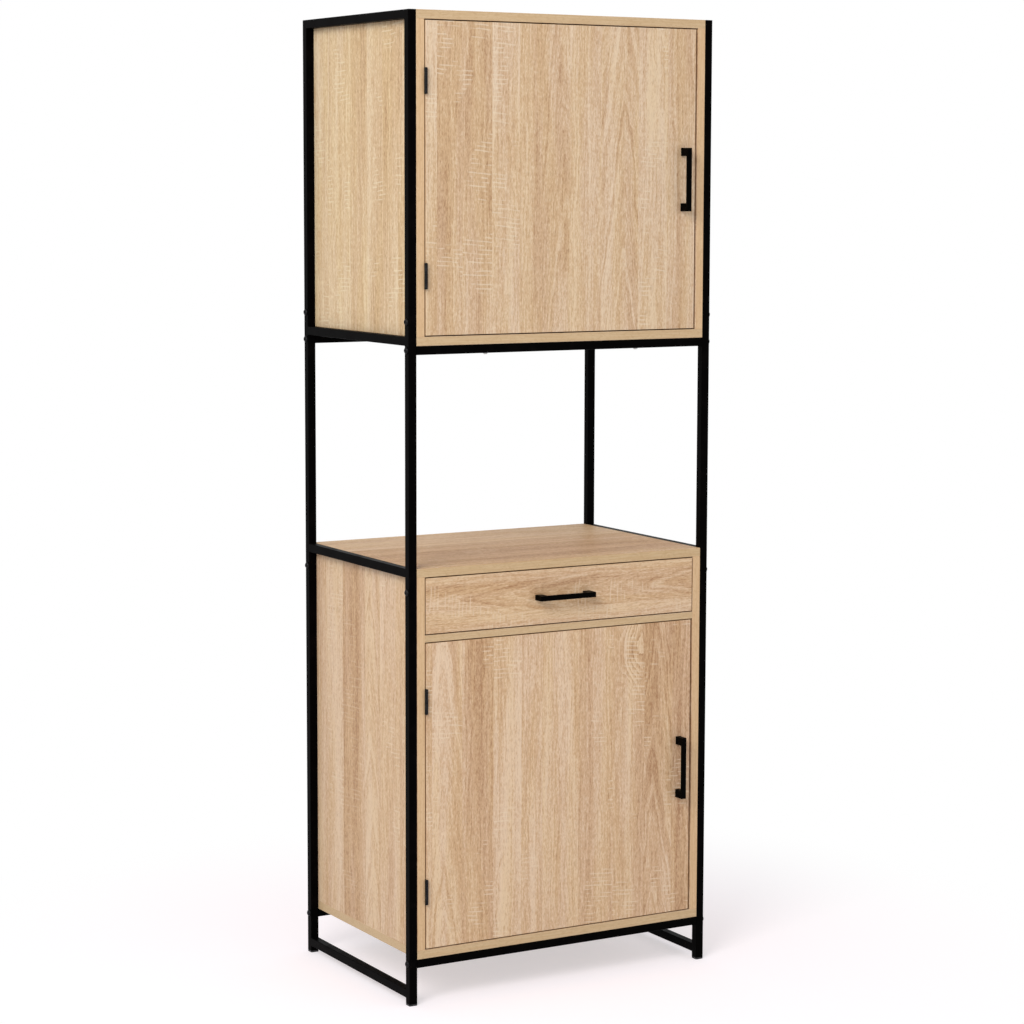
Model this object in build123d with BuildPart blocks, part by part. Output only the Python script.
from build123d import *
import math
import os

# Tall kitchen cabinet: two welded steel side frames in three lengths each, an
# upper cabinet with one door, an open bay above a worktop, and a lower cabinet
# with a drawer over one door. X runs left to right, -Y is the front, Z is up.
# The origin lies on the floor under the middle of the whole piece, handles included.

os.makedirs("parts", exist_ok=True)

# Whole piece
frame_width = 600.0
frame_depth = 400.0
frame_height = 1680.0

# Square steel tube of the frames
tube = 15.0
tube_wall = 1.2
tube_corner = 1.3
tube_end_break = 0.5

# Levels, each to the underside of its rail or board
floor_rail_z = 12.0
lower_rail_z = 65.0
worktop_z = 737.0
upper_rail_z = 1111.5

# Splices of the side frames: how far a middle post runs past its side rail
splice_stub = 50.0
splice_bolt_from_seam = 25.0
sleeve_length = 76.0
sleeve_wall = 1.5
sleeve_clearance = 0.2

# Plastic plugs in the feet
foot_flange = 3.0
foot_stub = 16.0
foot_corner = 1.2

# End plates of the cross rails
end_plate = 3.0

# Boards
board = 15.0
thin_board = 12.0
edge_break = 0.4
drawer_space = 99.0
back_sheet = 3.0
back_sheet_inset = 8.0
groove_depth = 5.0
groove_clearance = 0.2
sheet_end_clearance = 0.5

# Gaps round the doors and the drawer front
reveal = 2.0
latch_gap = 4.0

# Butt hinges
leaf = 1.1
leaf_gap = 0.2
leaf_width = 13.0
leaf_set_back = 0.1
hinge_length = 43.0
hinge_from_edge = 99.0
knuckle_count = 5
knuckle_gap = 0.2
knuckle_radius = 3.0
knuckle_stand_off = 0.2
knuckle_sides = 16
bore_sides = 12
hinge_pin_radius = 1.5
pin_tight_fit = 0.02
pin_running_fit = 0.06
pin_end = 0.6
leaf_screw_spacing = 26.0
leaf_screw_from_face = 7.5

# Pull handles
handle_holes = 96.0
handle_foot = 14.0
handle_width = 9.0
handle_bar = 4.5
handle_reach = 22.0
handle_round = 0.8
handle_inner_round = 2.0
handle_from_edge = 25.0

# Fasteners
bolt_radius = 3.0
bolt_length = 25.0
bolt_head_radius = 5.75
bolt_head = 3.6
bolt_crown_radius = 3.7
bolt_clearance = 0.15
screw_radius = 1.75
screw_head_radius = 2.95
screw_head = 1.1
short_screw = 13.0
long_screw = 30.0
machine_screw_radius = 2.0
machine_screw_head_radius = 4.0
machine_screw_head = 2.4
machine_screw_crown_radius = 2.8
screw_clearance = 0.1
handle_screw_bite = 8.0
rail_screw_bite = 10.0
rail_screw_x = 150.0

# Cam fittings
cam_radius = 7.4
cam_sides = 12
cam_seat_clearance = 0.1
cam_below_stud = 4.2
cam_inset = 24.0
cam_from_edge = 55.0
stud_radius = 2.5
stud_thread = 8.0

# Shelves and their pegs
shelf_gap = 1.5
shelf_set_back = 30.0
peg_radius = 2.5
peg_in_panel = 8.0
peg_out = 10.0
peg_from_edge = 70.0

# Magnetic catches and their strike plates
catch_reach = 17.0
catch_body = 16.0
catch_length = 26.0
catch_ear = 11.0
catch_ear_thickness = 3.0
catch_below_top = 60.0
catch_gap = 0.3
strike_plate = 1.2
strike_width = 12.0
strike_length = 30.0
strike_corner = 1.5

# Drawer box and its roller runners
runner_length = 350.0
runner_space = 12.5
runner_sheet = 1.2
runner_lift = 4.0
runner_set_back = 2.0
channel_depth = 10.4
roller_radius = 7.5
roller_width = 6.0
roller_bore_clearance = 0.06
roller_running_gap = 0.3
roller_side_gap = 0.9
roller_above_channel = 0.8
axle_radius = 2.0
axle_head_radius = 3.2
axle_head = 0.9
axle_head_gap = 0.2
front_roller_from_end = 10.0
rear_roller_from_end = 12.0
runner_stop_height = 6.0
drawer_travel = 260.0
drawer_flange = 9.5
drawer_side_height = 70.0
drawer_side_lift = 10.8
drawer_sheet_lift = 9.0
drawer_screw_from_web = 4.5
drawer_roll_flange = 9.1
drawer_joint_levels = (24.0, 54.0)
runner_screw_places = (45.0, 160.0, 320.0)

# Places worked out from the sizes above
half_width = frame_width / 2
front = -(frame_depth - handle_reach) / 2
back = front + frame_depth
post_x = half_width - tube / 2
post_rows = (front + tube / 2, back - tube / 2)
tube_bore = tube - 2 * tube_wall
carcass_x = half_width - tube
inside_x = carcass_x - board
panel_x = carcass_x - board / 2
lower_floor_z = lower_rail_z + tube + board
upper_board_z = upper_rail_z + tube
upper_floor_z = upper_board_z + board
top_board_z = frame_height - board
divider_top_z = worktop_z - drawer_space
divider_z = divider_top_z - thin_board
lower_seam_z = worktop_z - splice_stub
upper_seam_z = upper_board_z + tube + splice_stub
lower_splice_bolt_z = lower_seam_z + splice_bolt_from_seam
upper_splice_bolt_z = upper_seam_z - splice_bolt_from_seam
rail_mid = tube / 2
door_back = front + board
sheet_back = back - back_sheet_inset
sheet_front = sheet_back - back_sheet
board_back = sheet_front - groove_clearance
hinge_x = -inside_x + leaf + leaf_gap / 2
hinge_y = front - knuckle_radius - knuckle_stand_off
door_hinge_edge = -inside_x + 2 * leaf + leaf_gap
door_free_edge = inside_x - latch_gap
strike_x = door_free_edge - strike_width / 2 - reveal / 4
hinge_pitch = hinge_length / knuckle_count
leaf_screw_y = front + leaf_screw_from_face
upper_door = (upper_floor_z + reveal, top_board_z - reveal)
lower_door = (lower_floor_z + reveal, divider_z - reveal)
upper_shelf_z = (upper_floor_z + top_board_z - board) / 2
lower_shelf_z = (lower_floor_z + divider_z - board) / 2
upper_catch_z = top_board_z - catch_below_top
lower_catch_z = divider_z - catch_below_top
catch_front = door_back + strike_plate + catch_gap
catch_y = catch_front + catch_body / 2
cam_rows = (front + cam_from_edge, back - cam_from_edge)
peg_columns = (front + peg_from_edge, back - peg_from_edge)
channel_low = divider_top_z + runner_lift
rear_roller_z = channel_low + runner_sheet + roller_running_gap + roller_radius
channel_high = rear_roller_z + roller_radius + roller_running_gap + runner_sheet
front_roller_z = channel_high + roller_above_channel - roller_radius
roll_flange_z = front_roller_z + roller_radius + roller_running_gap
runner_front = door_back + runner_set_back
front_roller_y = runner_front + front_roller_from_end
drawer_end = door_back + runner_length
rear_roller_y = drawer_end - rear_roller_from_end
runner_stop_y = rear_roller_y - drawer_travel - roller_radius - roller_running_gap
drawer_web = runner_space - runner_sheet
drawer_outer = inside_x - runner_space
drawer_inner = drawer_outer - thin_board
drawer_side_z = divider_top_z + drawer_side_lift
drawer_sheet_z = drawer_side_z + drawer_sheet_lift
drawer_top_z = drawer_side_z + drawer_side_height
drawer_front_z = (divider_top_z + reveal, worktop_z - reveal)
left, right = -1, 1
UP = Vector(0, 0, 1)
DOWN = Vector(0, 0, -1)
BACKWARD = Vector(0, 1, 0)
RIGHTWARD = Vector(1, 0, 0)


def save(piece, name):
    """Label a finished piece and write it to its own file."""
    piece.part.label = name
    export_step(piece.part, f"parts/{name}.step")


def block(low, high, mode=Mode.ADD):
    """Rectangular block between two opposite corners."""
    size = [b - a for a, b in zip(low, high)]
    with Locations(tuple((a + b) / 2 for a, b in zip(low, high))):
        Box(*size, mode=mode)


def drill(start, direction, radius, depth, mode=Mode.SUBTRACT):
    """Round hole, or round bar, that starts at a point and runs along a direction."""
    with Locations(Plane(origin=start, z_dir=direction)):
        Cylinder(radius, depth, align=(Align.CENTER, Align.CENTER, Align.MIN), mode=mode)


def facet(start, direction, radius, depth, mode=Mode.SUBTRACT, end_radius=None, sides=8):
    """Many-sided hole or bar for a small fastener, straight or tapering to another radius."""
    with BuildSketch(Plane(origin=start, z_dir=direction)) as section:
        RegularPolygon(radius, sides)
    drawn_in = 0 if end_radius is None else (radius - end_radius) * math.cos(math.pi / sides)
    lean = math.degrees(math.atan2(drawn_in, depth))
    extrude(section.sketch, amount=depth, taper=lean, mode=mode)


def countersink(start, direction, depth):
    """Hole for a countersunk screw, from the face that its head is flush with."""
    hole = screw_radius + screw_clearance
    facet(start, direction, screw_head_radius + screw_clearance, screw_head, end_radius=hole)
    if depth > screw_head:
        facet(start, direction, hole, depth)


def bar(start, direction, length):
    """Square tube's outside with rounded corners, from the middle of its first end."""
    with BuildSketch(Plane(origin=start, z_dir=direction)) as section:
        RectangleRounded(tube, tube, tube_corner)
    extrude(section.sketch, amount=length)


def bore(start, direction, length):
    """Square hollow inside a tube, from the middle of its first end."""
    with BuildSketch(Plane(origin=start, z_dir=direction)) as section:
        Rectangle(tube_bore, tube_bore)
    extrude(section.sketch, amount=length, mode=Mode.SUBTRACT)


def place_copies(piece, places):
    """Set a copy of a finished piece at each place, as separate solids."""
    for place in places:
        add(piece.part.moved(place.location))


def turned(points):
    """Solid of revolution about Z from the right half of its outline."""
    with BuildSketch(Plane.XZ) as outline:
        with BuildLine():
            Polyline(*points, close=True)
        make_face()
    revolve(outline.sketch, axis=Axis.Z)


def outward_from(side, low, high):
    """X range between two distances from an inner panel face, towards the middle."""
    return sorted((side * (inside_x - low), side * (inside_x - high)))


# Fasteners, each modelled once with its head above the origin and its shank below

with BuildPart() as frame_bolt:
    facet((0, 0, 0), DOWN, bolt_radius, bolt_length, Mode.ADD)
    facet((0, 0, 0), UP, bolt_head_radius, bolt_head, Mode.ADD, bolt_crown_radius)


def wood_screw(length):
    """Countersunk screw whose head is flush with the origin."""
    with BuildPart() as screw:
        facet((0, 0, 0), DOWN, screw_head_radius, screw_head, Mode.ADD, screw_radius)
        facet((0, 0, -screw_head), DOWN, screw_radius, length - screw_head, Mode.ADD)
    return screw


def machine_screw(length):
    """Pan-headed screw that bears on the face at the origin."""
    with BuildPart() as screw:
        facet((0, 0, 0), DOWN, machine_screw_radius, length, Mode.ADD)
        facet(
            (0, 0, 0),
            UP,
            machine_screw_head_radius,
            machine_screw_head,
            Mode.ADD,
            machine_screw_crown_radius,
        )
    return screw


short_wood_screw = wood_screw(short_screw)
long_wood_screw = wood_screw(long_screw)
handle_screw = machine_screw(board + handle_screw_bite)
rail_screw = machine_screw(tube + rail_screw_bite)


# Cam fittings. A fitting's plane starts where its stud leaves the board that holds the
# thread: X runs along the stud, and Z points out of the face that the cam is set in.


def cam_fitting(thickness):
    """Stud along X with its thread behind the origin, and the round cam that grips its end."""
    with BuildPart() as fitting:
        low = (cam_inset, 0, -cam_below_stud)
        facet(low, UP, cam_radius, thickness / 2 + cam_below_stud, Mode.ADD, sides=cam_sides)
        facet((-stud_thread, 0, 0), RIGHTWARD, stud_radius, stud_thread + cam_inset, Mode.ADD)
    return fitting


def cut_cam_seats(places, thickness):
    """Holes in a board for its cams, and for the studs that reach them through its edge."""
    for place in places:
        facet(place.origin, place.x_dir, stud_radius, cam_inset)
        face = place.origin + place.x_dir * cam_inset + place.z_dir * (thickness / 2)
        depth = thickness / 2 + cam_below_stud + cam_seat_clearance
        facet(face, -place.z_dir, cam_radius + cam_seat_clearance, depth, sides=cam_sides)


def cut_stud_holes(places):
    """Holes in a board for the threads of the studs that stand in it."""
    for place in places:
        facet(place.origin, -place.x_dir, stud_radius, stud_thread)


def panel_cams(side, end_z, inward):
    """Cam fittings at one end of an upright panel; inward is UP or its opposite."""
    return [
        Plane(origin=(side * panel_x, y, end_z), x_dir=inward, z_dir=(-side, 0, 0)) for y in cam_rows
    ]


def both_sides(end_z, inward):
    return panel_cams(left, end_z, inward) + panel_cams(right, end_z, inward)


divider_cams = {
    side: [
        Plane(origin=(side * inside_x, y, divider_z + thin_board / 2), x_dir=(-side, 0, 0), z_dir=(0, 0, -1))
        for y in cam_rows
    ]
    for side in (left, right)
}


# Side frames


def post_holes(side, z):
    """Holes through both posts of a side frame for its bolts at one level."""
    for y in post_rows:
        facet((side * half_width, y, z), (-side, 0, 0), bolt_radius + bolt_clearance, tube)


def side_rail(side, z, make):
    """A rail from post to post, or the hollow inside it that opens into both."""
    make(Vector(side * post_x, post_rows[0], z + rail_mid), BACKWARD, post_rows[1] - post_rows[0])


def end_rims(frame, side, z):
    """Outer edges of the post ends at one level."""
    rims = []
    for edge in frame.edges().filter_by_position(Axis.Z, z, z):
        middle = edge.center()
        across = abs(middle.X - side * post_x)
        along = min(abs(middle.Y - y) for y in post_rows)
        if max(across, along) > tube_bore / 2 + tube_wall / 4:
            rims.append(edge)
    return rims


def ladder_frame(side, low_z, high_z, rail_levels, bolt_levels, eased_ends=()):
    """Two posts with welded rails between them, all hollow."""
    with BuildPart() as frame:
        for make in (bar, bore):
            for y in post_rows:
                make((side * post_x, y, low_z), UP, high_z - low_z)
            for z in rail_levels:
                side_rail(side, z, make)
        for z in bolt_levels:
            post_holes(side, z)
        for z in eased_ends:
            chamfer(end_rims(frame, side, z), tube_end_break)
    return frame


def top_frame(side):
    """Tube mitred into an upside-down U, open at both lower ends."""
    top = frame_height - rail_mid
    x = side * post_x
    with BuildPart() as frame:
        with BuildLine():
            Polyline(
                (x, post_rows[0], upper_seam_z),
                (x, post_rows[0], top),
                (x, post_rows[1], top),
                (x, post_rows[1], upper_seam_z),
            )
        with BuildSketch(Plane(origin=(x, post_rows[0], upper_seam_z), z_dir=UP)):
            RectangleRounded(tube, tube, tube_corner)
            Rectangle(tube_bore, tube_bore, mode=Mode.SUBTRACT)
        sweep(transition=Transition.RIGHT)
    return frame


splice_bolt_levels = (lower_splice_bolt_z, upper_splice_bolt_z)
cross_bolt_levels = (lower_rail_z + rail_mid, upper_rail_z + rail_mid)

for side, hand in ((left, "left"), (right, "right")):
    lower_frame = ladder_frame(side, foot_flange, lower_seam_z, [floor_rail_z], cross_bolt_levels[:1])
    save(lower_frame, f"{hand}_lower_frame")
    middle_frame = ladder_frame(
        side,
        lower_seam_z,
        upper_seam_z,
        [worktop_z, upper_board_z],
        splice_bolt_levels + cross_bolt_levels[1:],
        (lower_seam_z, upper_seam_z),
    )
    save(middle_frame, f"{hand}_middle_frame")
    save(top_frame(side), f"{hand}_upper_frame")

post_places = [(side * post_x, y) for side in (left, right) for y in post_rows]

# Sleeves inside the posts, half in each length that they join
with BuildPart() as frame_sleeves:
    sleeve_side = tube_bore - 2 * sleeve_clearance
    for seam, bolt_z in zip((lower_seam_z, upper_seam_z), splice_bolt_levels):
        with BuildSketch(Plane.XY.offset(seam - sleeve_length / 2)):
            with Locations(*post_places):
                Rectangle(sleeve_side, sleeve_side)
                Rectangle(sleeve_side - 2 * sleeve_wall, sleeve_side - 2 * sleeve_wall, mode=Mode.SUBTRACT)
        extrude(amount=sleeve_length)
        for side in (left, right):
            post_holes(side, bolt_z)
save(frame_sleeves, "frame_sleeves")

# Foot plugs, pushed up into the open ends of the posts
with BuildPart() as foot_plugs:
    stub_side = tube_bore - 2 * sleeve_clearance
    with BuildSketch(Plane.XY) as flange:
        with Locations(*post_places):
            Rectangle(tube, tube)
        chamfer(flange.vertices(), foot_corner)
    extrude(amount=foot_flange)
    with BuildSketch(Plane.XY.offset(foot_flange)):
        with Locations(*post_places):
            Rectangle(stub_side, stub_side)
    extrude(amount=foot_stub)
save(foot_plugs, "foot_plugs")

# Cross rails between the side frames, under both bottom boards
for z, level in ((lower_rail_z, "lower"), (upper_rail_z, "upper")):
    for y, place in zip(post_rows, ("front", "back")):
        start = Vector(-carcass_x, y, z + rail_mid)
        with BuildPart() as cross_rail:
            bar(start, RIGHTWARD, 2 * carcass_x)
            bore(start + RIGHTWARD * end_plate, RIGHTWARD, 2 * (carcass_x - end_plate))
            facet(start, RIGHTWARD, bolt_radius + bolt_clearance, 2 * carcass_x)
            for x in (-rail_screw_x, rail_screw_x):
                facet((x, y, z), UP, machine_screw_radius + screw_clearance, tube)
        save(cross_rail, f"{level}_{place}_rail")

# Bolts through the posts: into the cross rails, and through the sleeves into the panels
with BuildPart() as frame_bolts:
    place_copies(
        frame_bolt,
        [
            Plane(origin=(side * half_width, y, z), z_dir=(side, 0, 0))
            for side in (left, right)
            for y in post_rows
            for z in splice_bolt_levels + cross_bolt_levels
        ],
    )
save(frame_bolts, "frame_bolts")

# Screws up through the cross rails into the bottom boards
with BuildPart() as rail_screws:
    place_copies(
        rail_screw,
        [
            Plane(origin=(x, y, z), z_dir=(0, 0, -1))
            for x in (-rail_screw_x, rail_screw_x)
            for y in post_rows
            for z in (lower_rail_z, upper_rail_z)
        ],
    )
save(rail_screws, "rail_screws")


# Boards


def sheet_groove(low, high, direction):
    """Groove for a back sheet in the face that the direction points out of."""
    start = [a if d <= 0 else a - groove_depth for a, d in zip(low, direction)]
    end = [b if d >= 0 else b + groove_depth for b, d in zip(high, direction)]
    start[1] = sheet_front - groove_clearance
    end[1] = sheet_back + groove_clearance
    block(start, end, Mode.SUBTRACT)


def level_board(z, cam_end_z, inward, screwed):
    """Board across the whole cabinet, over or under the side panels, with its sheet groove."""
    reach = inside_x + groove_depth
    with BuildPart() as piece:
        block((-carcass_x, front, z), (carcass_x, back, z + board))
        chamfer(piece.edges(), edge_break)
        sheet_groove((-reach, 0, cam_end_z), (reach, 0, cam_end_z), (0, 0, inward.Z))
        cut_stud_holes(both_sides(cam_end_z, inward))
        if screwed:
            for x in (-rail_screw_x, rail_screw_x):
                for y in post_rows:
                    facet((x, y, z), UP, machine_screw_radius, rail_screw_bite)
    return piece


save(level_board(top_board_z, top_board_z, -UP, False), "top_board")
save(level_board(upper_board_z, upper_floor_z, UP, True), "upper_bottom_board")
save(level_board(worktop_z, worktop_z, -UP, False), "worktop")
save(level_board(lower_floor_z - board, lower_floor_z, UP, True), "bottom_board")

with BuildPart() as drawer_divider:
    block((-inside_x, front, divider_z), (inside_x, board_back, divider_top_z))
    chamfer(drawer_divider.edges(), edge_break)
    for side in (left, right):
        cut_cam_seats(divider_cams[side], thin_board)
save(drawer_divider, "drawer_divider")


def side_panel(side, low_z, high_z, bolt_z, shelf_z, pilots, stud_places=()):
    """Upright panel with its sheet groove, and its holes for fasteners and shelf pegs."""
    outer, inner = side * carcass_x, side * inside_x
    inward, outward = (-side, 0, 0), (side, 0, 0)
    with BuildPart() as panel:
        block((min(outer, inner), front, low_z), (max(outer, inner), back, high_z))
        chamfer(panel.edges(), edge_break)
        sheet_groove((inner, 0, low_z), (inner, 0, high_z), inward)
        cut_cam_seats(panel_cams(side, low_z, UP) + panel_cams(side, high_z, -UP), board)
        cut_stud_holes(stud_places)
        for y in post_rows:
            facet((outer, y, bolt_z), inward, bolt_radius + bolt_clearance, bolt_length - tube)
        for y in peg_columns:
            facet((inner, y, shelf_z - peg_radius), outward, peg_radius, peg_in_panel)
        for y, z, depth in pilots:
            facet((inner, y, z), outward, screw_radius, depth)
    return panel


def hinge_levels(door):
    return (door[0] + hinge_from_edge, door[1] - hinge_from_edge)


def leaf_screw_levels(door):
    """Heights of the screws in both hinges of a door."""
    half = leaf_screw_spacing / 2
    return [z + step for z in hinge_levels(door) for step in (-half, half)]


def catch_screw_levels(z):
    reach = (catch_length + catch_ear) / 2
    return (z - reach, z + reach)


runner_screw_rows = [runner_front + place for place in runner_screw_places]
runner_pilots = [(y, rear_roller_z, short_screw - runner_sheet) for y in runner_screw_rows]


def hinge_pilots(door):
    return [(leaf_screw_y, z, short_screw - leaf) for z in leaf_screw_levels(door)]


def catch_pilots(z):
    return [(catch_y, level, short_screw - catch_ear_thickness) for level in catch_screw_levels(z)]


panels = {
    "upper_left_panel": side_panel(
        left, upper_floor_z, top_board_z, upper_splice_bolt_z, upper_shelf_z, hinge_pilots(upper_door)
    ),
    "upper_right_panel": side_panel(
        right, upper_floor_z, top_board_z, upper_splice_bolt_z, upper_shelf_z, catch_pilots(upper_catch_z)
    ),
    "lower_left_panel": side_panel(
        left,
        lower_floor_z,
        worktop_z,
        lower_splice_bolt_z,
        lower_shelf_z,
        hinge_pilots(lower_door) + runner_pilots,
        divider_cams[left],
    ),
    "lower_right_panel": side_panel(
        right,
        lower_floor_z,
        worktop_z,
        lower_splice_bolt_z,
        lower_shelf_z,
        catch_pilots(lower_catch_z) + runner_pilots,
        divider_cams[right],
    ),
}
for name, panel in panels.items():
    save(panel, name)

# Cams and studs that hold both cabinets together
with BuildPart() as cam_fittings:
    place_copies(
        cam_fitting(board),
        both_sides(upper_floor_z, UP)
        + both_sides(top_board_z, -UP)
        + both_sides(lower_floor_z, UP)
        + both_sides(worktop_z, -UP),
    )
    place_copies(cam_fitting(thin_board), divider_cams[left] + divider_cams[right])
save(cam_fittings, "cam_fittings")

# Back sheets in the grooves of each cabinet, and the shelves on their pegs
for level, low_z, high_z in (
    ("upper", upper_floor_z, top_board_z),
    ("lower", lower_floor_z, worktop_z),
):
    reach = groove_depth - sheet_end_clearance
    with BuildPart() as sheet:
        block(
            (-inside_x - reach, sheet_front, low_z - reach),
            (inside_x + reach, sheet_back, high_z + reach),
        )
    save(sheet, f"{level}_back_sheet")

shelf_x = inside_x - shelf_gap
for name, z in (("upper_shelf", upper_shelf_z), ("lower_shelf", lower_shelf_z)):
    with BuildPart() as shelf:
        block((-shelf_x, front + shelf_set_back, z), (shelf_x, board_back, z + board))
        chamfer(shelf.edges(), edge_break)
    save(shelf, name)

with BuildPart() as peg:
    facet((0, 0, -peg_in_panel), UP, peg_radius, peg_in_panel + peg_out, Mode.ADD)

with BuildPart() as shelf_pegs:
    place_copies(
        peg,
        [
            Plane(origin=(side * inside_x, y, z - peg_radius), z_dir=(-side, 0, 0))
            for side in (left, right)
            for y in peg_columns
            for z in (upper_shelf_z, lower_shelf_z)
        ],
    )
save(shelf_pegs, "shelf_pegs")


# Butt hinges: three knuckles belong to the leaf on the cabinet, two to the leaf on the door


def hinge_leaves(plate, knuckles, bore_radius, levels, screw_face, screw_direction):
    """Leaves of one kind, each a flat plate with its knuckles rolled round the pin."""
    near, far = plate
    plate_front = front + leaf_set_back
    flat_reach = math.cos(math.pi / bore_sides)
    with BuildPart() as leaves:
        for z in levels:
            foot = z - hinge_length / 2
            block((near, plate_front, foot), (far, plate_front + leaf_width, foot + hinge_length))
            for number in knuckles:
                low = foot + number * hinge_pitch + knuckle_gap / 2
                height = hinge_pitch - knuckle_gap
                block((near, hinge_y, low), (far, plate_front, low + height))
                facet((hinge_x, hinge_y, low), UP, knuckle_radius, height, Mode.ADD, sides=knuckle_sides)
                facet((hinge_x, hinge_y, low), UP, bore_radius / flat_reach, height, sides=bore_sides)
            for step in (-leaf_screw_spacing / 2, leaf_screw_spacing / 2):
                countersink((screw_face, leaf_screw_y, z + step), screw_direction, leaf)
    return leaves


frame_leaf = (-inside_x, -inside_x + leaf)
door_leaf = (door_hinge_edge - leaf, door_hinge_edge)
frame_hinge_leaves = hinge_leaves(
    frame_leaf,
    range(0, knuckle_count, 2),
    hinge_pin_radius + pin_tight_fit,
    hinge_levels(upper_door) + hinge_levels(lower_door),
    frame_leaf[1],
    (-1, 0, 0),
)
save(frame_hinge_leaves, "frame_hinge_leaves")

with BuildPart() as hinge_pin:
    Cylinder(hinge_pin_radius, hinge_length + 2 * pin_end)

with BuildPart() as hinge_pins:
    place_copies(
        hinge_pin,
        [
            Plane(origin=(hinge_x, hinge_y, z), z_dir=UP)
            for z in hinge_levels(upper_door) + hinge_levels(lower_door)
        ],
    )
save(hinge_pins, "hinge_pins")

# Magnetic catches on the right panels
with BuildPart() as magnetic_catches:
    for z in (upper_catch_z, lower_catch_z):
        ear_z = catch_length / 2 + catch_ear
        block(
            (inside_x - catch_ear_thickness, catch_front, z - ear_z),
            (inside_x, catch_front + catch_body, z + ear_z),
        )
        block(
            (inside_x - catch_reach, catch_front, z - catch_length / 2),
            (inside_x, catch_front + catch_body, z + catch_length / 2),
        )
    chamfer(magnetic_catches.edges().filter_by(Axis.X), 1.0)
    for z in (upper_catch_z, lower_catch_z):
        for level in catch_screw_levels(z):
            start = (inside_x - catch_ear_thickness, catch_y, level)
            countersink(start, RIGHTWARD, catch_ear_thickness)
save(magnetic_catches, "magnetic_catches")


# Doors


def pull_handle(foot_middle, along, across):
    """Square pull: a flat bar on two block feet, with a screw hole in each foot."""
    length = handle_holes + handle_foot
    gap = handle_holes - handle_foot
    profile_plane = Plane(origin=foot_middle, x_dir=along, z_dir=across)
    with BuildPart() as handle:
        with BuildSketch(profile_plane) as outline:
            with Locations((0, handle_reach / 2)):
                Rectangle(length, handle_reach)
            with Locations((0, (handle_reach - handle_bar) / 2)):
                Rectangle(gap, handle_reach - handle_bar, mode=Mode.SUBTRACT)
        extrude(outline.sketch, amount=handle_width / 2, both=True)
        inner_edges = [
            edge
            for edge in handle.edges()
            if abs(edge.center().Y - (front - handle_reach + handle_bar)) < handle_round
            and abs(edge.length - handle_width) < handle_round
        ]
        fillet(inner_edges, handle_inner_round)
        fillet(handle.edges().group_by(Axis.Y)[0], handle_round)
        for step in (-handle_holes / 2, handle_holes / 2):
            start = Vector(*foot_middle) + Vector(*along) * step
            facet(start, -BACKWARD, machine_screw_radius, handle_screw_bite)
    return handle


def screw_places(middle, along, face_y):
    """Planes of the two screws that hold a handle, heads on the inner face."""
    return [
        Plane(origin=(middle[0] + along[0] * step, face_y, middle[2] + along[2] * step), z_dir=BACKWARD)
        for step in (-handle_holes / 2, handle_holes / 2)
    ]


def handle_screw_holes(middle, along):
    for place in screw_places(middle, along, door_back):
        facet(place.origin, -BACKWARD, machine_screw_radius + screw_clearance, board)


for level, door, catch_z in (
    ("upper", upper_door, upper_catch_z),
    ("lower", lower_door, lower_catch_z),
):
    low_z, high_z = door
    middle = (door_free_edge - handle_from_edge, front, (low_z + high_z) / 2)
    along = (0, 0, 1)

    with BuildPart() as door_panel:
        block((door_hinge_edge, front, low_z), (door_free_edge, door_back, high_z))
        chamfer(door_panel.edges(), edge_break)
        handle_screw_holes(middle, along)
        for z in leaf_screw_levels(door):
            facet((door_hinge_edge, leaf_screw_y, z), RIGHTWARD, screw_radius, short_screw - leaf)
        facet((strike_x, door_back, catch_z), -BACKWARD, screw_radius, short_screw - strike_plate)
    save(door_panel, f"{level}_door_panel")

    save(pull_handle(middle, along, (1, 0, 0)), f"{level}_door_handle")

    with BuildPart() as handle_screws:
        place_copies(handle_screw, screw_places(middle, along, door_back))
    save(handle_screws, f"{level}_handle_screws")

    door_leaves = hinge_leaves(
        door_leaf,
        range(1, knuckle_count, 2),
        hinge_pin_radius + pin_running_fit,
        hinge_levels(door),
        door_leaf[0],
        (1, 0, 0),
    )
    save(door_leaves, f"{level}_door_hinge_leaves")

    with BuildPart() as strike:
        block(
            (strike_x - strike_width / 2, door_back, catch_z - strike_length / 2),
            (strike_x + strike_width / 2, door_back + strike_plate, catch_z + strike_length / 2),
        )
        chamfer(strike.edges().filter_by(Axis.Y), strike_corner)
        countersink((strike_x, door_back + strike_plate, catch_z), -BACKWARD, strike_plate)
    save(strike, f"{level}_strike_plate")

    with BuildPart() as door_screws:
        place_copies(
            short_wood_screw,
            [Plane(origin=(door_leaf[0], leaf_screw_y, z), z_dir=(-1, 0, 0)) for z in leaf_screw_levels(door)]
            + [Plane(origin=(strike_x, door_back + strike_plate, catch_z), z_dir=BACKWARD)],
        )
    save(door_screws, f"{level}_door_screws")

# Screws of the hinge leaves, the catches and the runners, driven into the side panels
with BuildPart() as cabinet_screws:
    leaf_places = [
        Plane(origin=(frame_leaf[1], leaf_screw_y, z), z_dir=(1, 0, 0))
        for z in leaf_screw_levels(upper_door) + leaf_screw_levels(lower_door)
    ]
    catch_places = [
        Plane(origin=(inside_x - catch_ear_thickness, catch_y, level), z_dir=(-1, 0, 0))
        for z in (upper_catch_z, lower_catch_z)
        for level in catch_screw_levels(z)
    ]
    runner_places = [
        Plane(origin=(side * (inside_x - runner_sheet), y, rear_roller_z), z_dir=(-side, 0, 0))
        for side in (left, right)
        for y in runner_screw_rows
    ]
    place_copies(short_wood_screw, leaf_places + catch_places + runner_places)
save(cabinet_screws, "cabinet_screws")


# Drawer on roller runners. A runner's sizes across the cabinet count from the panel inwards.


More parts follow.
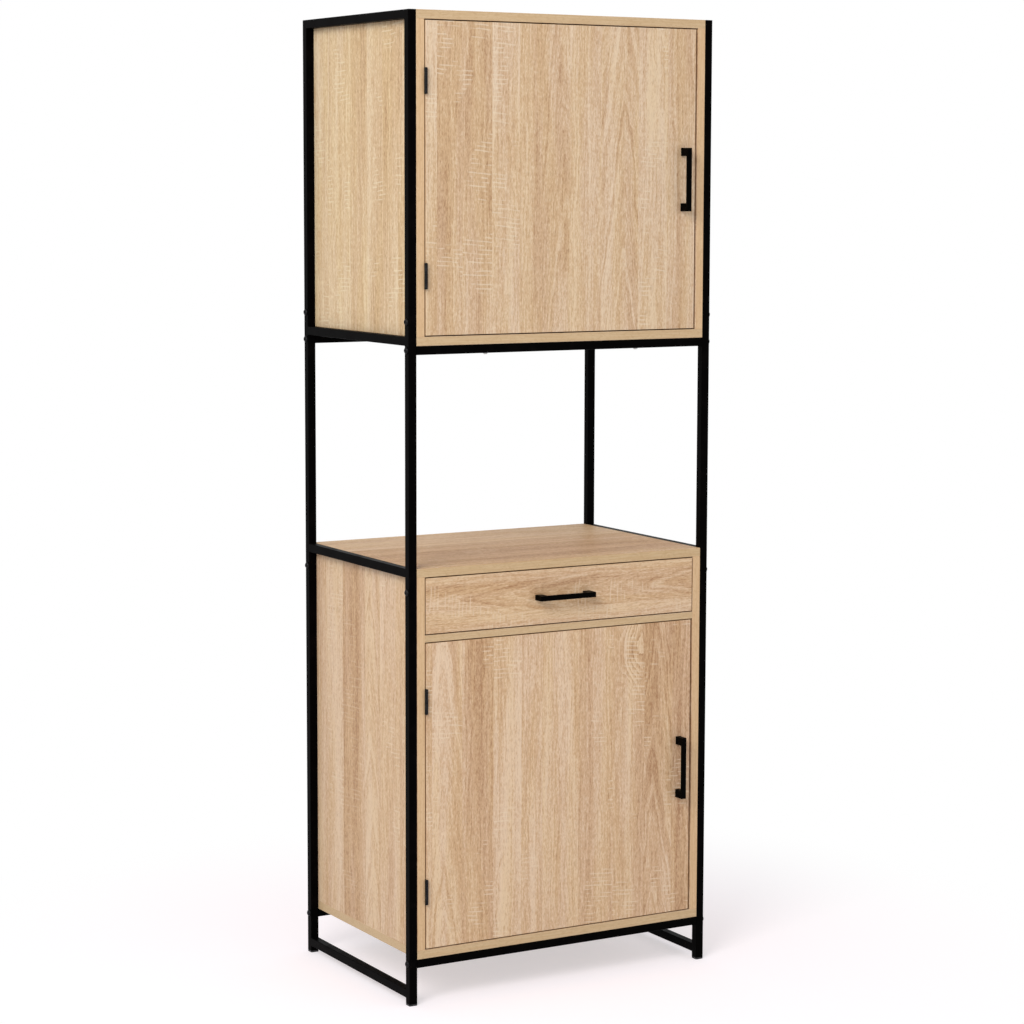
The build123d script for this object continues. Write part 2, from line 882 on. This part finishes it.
def runner_block(side, across, along, height):
    """Block given by its distances from the panel, its Y range and its Z range."""
    low_x, high_x = outward_from(side, *across)
    block((low_x, along[0], height[0]), (high_x, along[1], height[1]))


def axle(side, web_face, step, y, z):
    """Shouldered axle on a web; step is 1 towards the middle of the cabinet, -1 away."""
    direction = (-side * step, 0, 0)
    shoulder = roller_side_gap - axle_head_gap
    reach = roller_side_gap + roller_width + axle_head_gap
    start = Vector(side * (inside_x - web_face), y, z)
    drill(start, direction, axle_radius, reach + axle_head, Mode.ADD)
    facet(start, direction, axle_head_radius, shoulder, Mode.ADD)
    facet(start + Vector(*direction) * reach, direction, axle_head_radius, axle_head, Mode.ADD)


with BuildPart() as roller:
    rim = roller_width / 2
    hole = axle_radius + roller_bore_clearance
    turned(
        [
            (hole, -rim),
            (roller_radius, -rim),
            (roller_radius, rim),
            (hole, rim),
        ]
    )

front_roller_across = runner_sheet + roller_side_gap + roller_width / 2
rear_roller_across = drawer_web - roller_side_gap - roller_width / 2
for name, across, y, z in (
    ("front_rollers", front_roller_across, front_roller_y, front_roller_z),
    ("rear_rollers", rear_roller_across, rear_roller_y, rear_roller_z),
):
    with BuildPart() as rollers:
        place_copies(
            roller,
            [Plane(origin=(side * (inside_x - across), y, z), z_dir=(1, 0, 0)) for side in (left, right)],
        )
    save(rollers, name)

drawer_middle = (0, front, (drawer_front_z[0] + drawer_front_z[1]) / 2)
drawer_screw_across = runner_space + drawer_screw_from_web
drawer_screw_rows = [door_back + place for place in runner_screw_places]
drawer_back_y = drawer_end - thin_board
drawer_cams = {
    side: [
        Plane(
            origin=(side * (drawer_outer - thin_board / 2), door_back, drawer_side_z + level),
            x_dir=BACKWARD,
            z_dir=(-side, 0, 0),
        )
        for level in drawer_joint_levels
    ]
    for side in (left, right)
}

for side, hand in ((left, "left"), (right, "right")):
    with BuildPart() as cabinet_runner:
        length = (runner_front, runner_front + runner_length)
        tab_y = rear_roller_y + roller_radius + roller_running_gap
        flange_front = front_roller_y + roller_radius + runner_sheet
        runner_block(side, (0, runner_sheet), length, (channel_low, channel_high))
        runner_block(side, (0, channel_depth), length, (channel_low, channel_low + runner_sheet))
        top_flange = (channel_high - runner_sheet, channel_high)
        runner_block(side, (0, channel_depth), (flange_front, length[1]), top_flange)
        runner_block(side, (0, channel_depth), (tab_y, tab_y + runner_sheet), (channel_low, channel_high))
        stop = (channel_high - runner_sheet - runner_stop_height, channel_high)
        runner_block(side, (0, channel_depth), (runner_stop_y - runner_sheet, runner_stop_y), stop)
        axle(side, runner_sheet, 1, front_roller_y, front_roller_z)
        for y in runner_screw_rows:
            start = (side * (inside_x - runner_sheet), y, rear_roller_z)
            countersink(start, (side, 0, 0), runner_sheet)
    save(cabinet_runner, f"{hand}_cabinet_runner")

    with BuildPart() as drawer_runner:
        length = (door_back, drawer_end)
        flange_z = drawer_side_z - runner_sheet
        roll_top = roll_flange_z + runner_sheet
        runner_block(side, (drawer_web, runner_space), length, (flange_z, roll_top))
        runner_block(side, (drawer_web, runner_space + drawer_flange), length, (flange_z, drawer_side_z))
        outer_flange = (drawer_web - drawer_roll_flange, drawer_web)
        runner_block(side, outer_flange, length, (roll_flange_z, roll_top))
        axle(side, drawer_web, -1, rear_roller_y, rear_roller_z)
        for y in drawer_screw_rows:
            countersink((side * (inside_x - drawer_screw_across), y, flange_z), UP, runner_sheet)
    save(drawer_runner, f"{hand}_drawer_runner")

    with BuildPart() as drawer_side:
        low_x, high_x = outward_from(side, runner_space, runner_space + thin_board)
        block((low_x, door_back, drawer_side_z), (high_x, drawer_end, drawer_top_z))
        chamfer(drawer_side.edges(), edge_break)
        low_x, high_x = sorted((side * drawer_inner, side * (drawer_inner + groove_depth)))
        block(
            (low_x, door_back, drawer_sheet_z - groove_clearance),
            (high_x, drawer_end, drawer_sheet_z + back_sheet + groove_clearance),
            Mode.SUBTRACT,
        )
        cut_cam_seats(drawer_cams[side], thin_board)
        for y in drawer_screw_rows:
            start = (side * (inside_x - drawer_screw_across), y, drawer_side_z)
            facet(start, UP, screw_radius, long_screw - runner_sheet)
        for level in drawer_joint_levels:
            start = (side * drawer_outer, drawer_end - thin_board / 2, drawer_side_z + level)
            countersink(start, (-side, 0, 0), thin_board)
    save(drawer_side, f"drawer_{hand}_side")

with BuildPart() as drawer_front:
    x = inside_x - reveal
    block((-x, front, drawer_front_z[0]), (x, door_back, drawer_front_z[1]))
    chamfer(drawer_front.edges(), edge_break)
    x = drawer_inner + groove_depth
    block(
        (-x, door_back - groove_depth, drawer_sheet_z - groove_clearance),
        (x, door_back, drawer_sheet_z + back_sheet + groove_clearance),
        Mode.SUBTRACT,
    )
    cut_stud_holes(drawer_cams[left] + drawer_cams[right])
    handle_screw_holes(drawer_middle, (1, 0, 0))
save(drawer_front, "drawer_front")

with BuildPart() as drawer_back:
    block(
        (-drawer_inner, drawer_back_y, drawer_sheet_z + back_sheet + groove_clearance),
        (drawer_inner, drawer_end, drawer_top_z),
    )
    chamfer(drawer_back.edges(), edge_break)
    for side in (left, right):
        for level in drawer_joint_levels:
            start = (side * drawer_inner, drawer_end - thin_board / 2, drawer_side_z + level)
            facet(start, (-side, 0, 0), screw_radius, long_screw - thin_board)
save(drawer_back, "drawer_back")

with BuildPart() as drawer_bottom:
    reach = groove_depth - sheet_end_clearance
    block(
        (-drawer_inner - reach, door_back - reach, drawer_sheet_z),
        (drawer_inner + reach, drawer_end, drawer_sheet_z + back_sheet),
    )
save(drawer_bottom, "drawer_bottom")

save(pull_handle(drawer_middle, (1, 0, 0), (0, 0, -1)), "drawer_handle")

with BuildPart() as drawer_handle_screws:
    place_copies(handle_screw, screw_places(drawer_middle, (1, 0, 0), door_back))
save(drawer_handle_screws, "drawer_handle_screws")

with BuildPart() as drawer_cam_fittings:
    place_copies(cam_fitting(thin_board), drawer_cams[left] + drawer_cams[right])
save(drawer_cam_fittings, "drawer_cam_fittings")

# Long screws of the drawer: up through the runners, and through the sides into the back
with BuildPart() as drawer_screws:
    runner_places = [
        Plane(
            origin=(side * (inside_x - drawer_screw_across), y, drawer_side_z - runner_sheet),
            z_dir=-UP,
        )
        for side in (left, right)
        for y in drawer_screw_rows
    ]
    back_places = [
        Plane(
            origin=(side * drawer_outer, drawer_end - thin_board / 2, drawer_side_z + level),
            z_dir=(side, 0, 0),
        )
        for side in (left, right)
        for level in drawer_joint_levels
    ]
    place_copies(long_wood_screw, runner_places + back_places)
save(drawer_screws, "drawer_screws")
